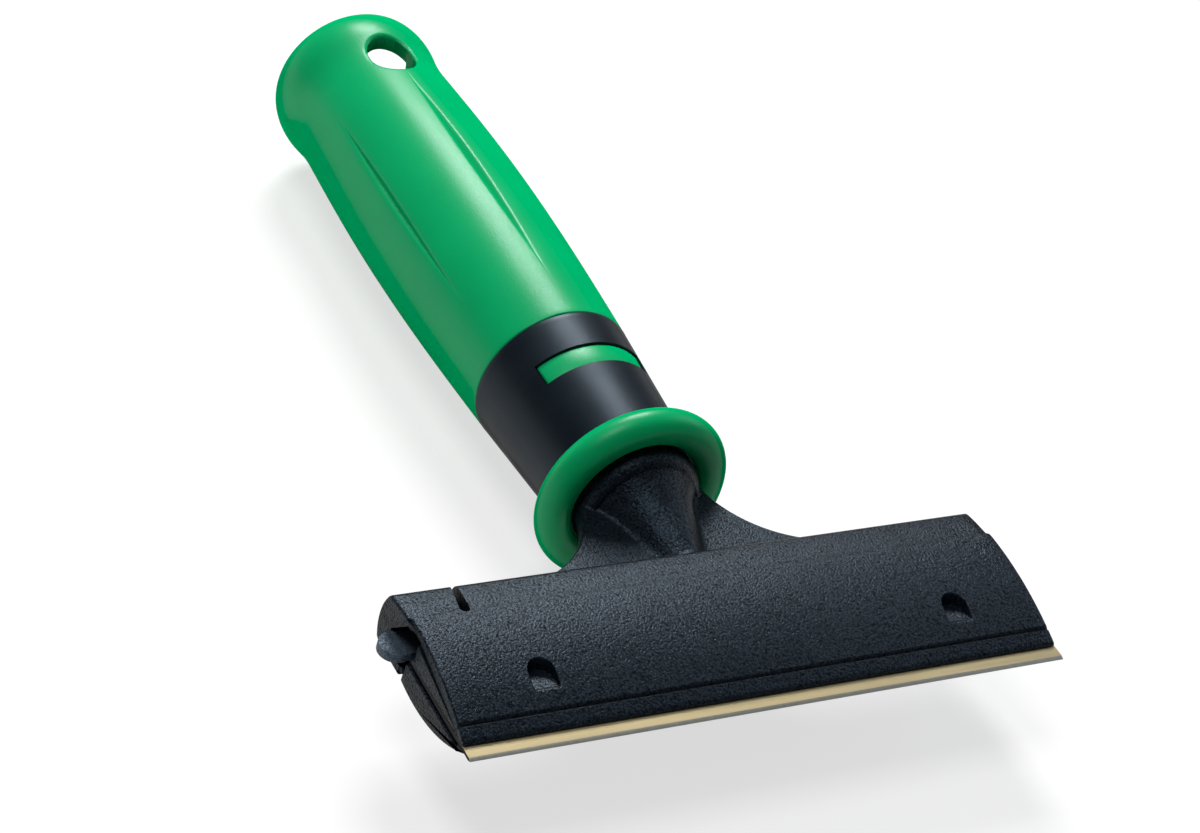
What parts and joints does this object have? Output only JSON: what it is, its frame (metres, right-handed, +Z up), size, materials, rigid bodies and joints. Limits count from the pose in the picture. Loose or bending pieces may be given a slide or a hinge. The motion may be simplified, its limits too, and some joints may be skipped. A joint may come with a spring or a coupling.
{
  "type": "razor blade scraper",
  "caption": "Glass scraper with a wide razor blade in a slide-out tray, a flat moulded head on a short flared neck, and a soft grooved grip with a pole socket in its butt.",
  "frame": {"origin": "centre of the hard mouth of the pole socket, on the handle axis", "axes": "Y along the handle, the way a pole leaves the socket, with the blade towards -Y; X along the blade; Z up, away from the face that lies on the glass"},
  "size_m": [0.1034, 0.1589, 0.0318],
  "materials": {
    "grained_nylon": "spark-eroded grain",
    "smooth_nylon": "smooth satin",
    "green_tpe": "satin",
    "blade_steel": "ground, lacquered",
    "zinc_screw": "zinc plated"
  },
  "bodies": {
    "base": {"head_upper_shell": "grained_nylon", "head_lower_shell": "grained_nylon", "handle_core": "smooth_nylon", "grip_sleeve": "green_tpe", "collar_ring": "green_tpe", "collar_inlay": "green_tpe", "neck_screw": "zinc_screw"},
    "carrier": {"blade_carrier": "smooth_nylon", "blade": "blade_steel"},
    "latch": {"carrier_latch": "grained_nylon"}
  },
  "joints": [
    {"name": "carrier_slide", "type": "slide", "parent": "base", "child": "carrier", "axis": [-1, 0, 0], "range_m": [0, 0.1]},
    {"name": "latch_press", "type": "hinge", "parent": "carrier", "child": "latch", "pos_m": [-0.024, -0.1342, 0.00063], "axis": [0, -1, 0], "range_deg": [0, 2.5], "stiffness_Nm_per_rad": 0.27}
  ]
}
